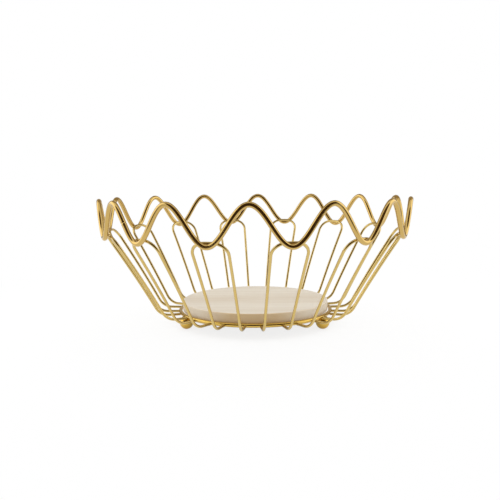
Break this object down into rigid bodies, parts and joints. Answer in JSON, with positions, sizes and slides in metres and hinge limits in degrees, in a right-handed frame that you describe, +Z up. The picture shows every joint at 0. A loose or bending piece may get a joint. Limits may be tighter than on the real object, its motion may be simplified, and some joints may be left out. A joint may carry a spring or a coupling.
{
  "type": "fruit basket",
  "caption": "Round wire fruit basket: a wavy rim on inverted-U hoops that slope in to a base ring on ball feet, with a loose lift-out wooden plate as its floor.",
  "frame": {"origin": "on the table below the middle of the basket, level with the flats of the ball feet", "axes": "+Z up along the basket's axis, -Y towards the viewer, through a crest of the rim; the ball feet are 60, 180 and 300 degrees from -Y"},
  "size_m": [0.297, 0.3004, 0.1228],
  "materials": {
    "gold_wire": "bright gold plating on steel wire, polished",
    "gold_ball": "bright gold plating, polished",
    "pale_wood": "pale sanded board with a faint straight grain, satin"
  },
  "bodies": {
    "frame": {"ball_foot_back": "gold_ball", "ball_foot_left": "gold_ball", "ball_foot_right": "gold_ball", "base_ring": "gold_wire", "hoop_01": "gold_wire", "hoop_02": "gold_wire", "hoop_03": "gold_wire", "hoop_04": "gold_wire", "hoop_05": "gold_wire", "hoop_06": "gold_wire", "hoop_07": "gold_wire", "hoop_08": "gold_wire", "hoop_09": "gold_wire", "hoop_10": "gold_wire", "hoop_11": "gold_wire", "hoop_12": "gold_wire", "hoop_13": "gold_wire", "hoop_14": "gold_wire", "rim_wire": "gold_wire"},
    "plate": {"wood_plate": "pale_wood"}
  },
  "joints": [
    {"name": "plate_lift_out", "type": "slide", "parent": "frame", "child": "plate", "axis": [0, 0, 1], "range_m": [0, 0.13]}
  ]
}
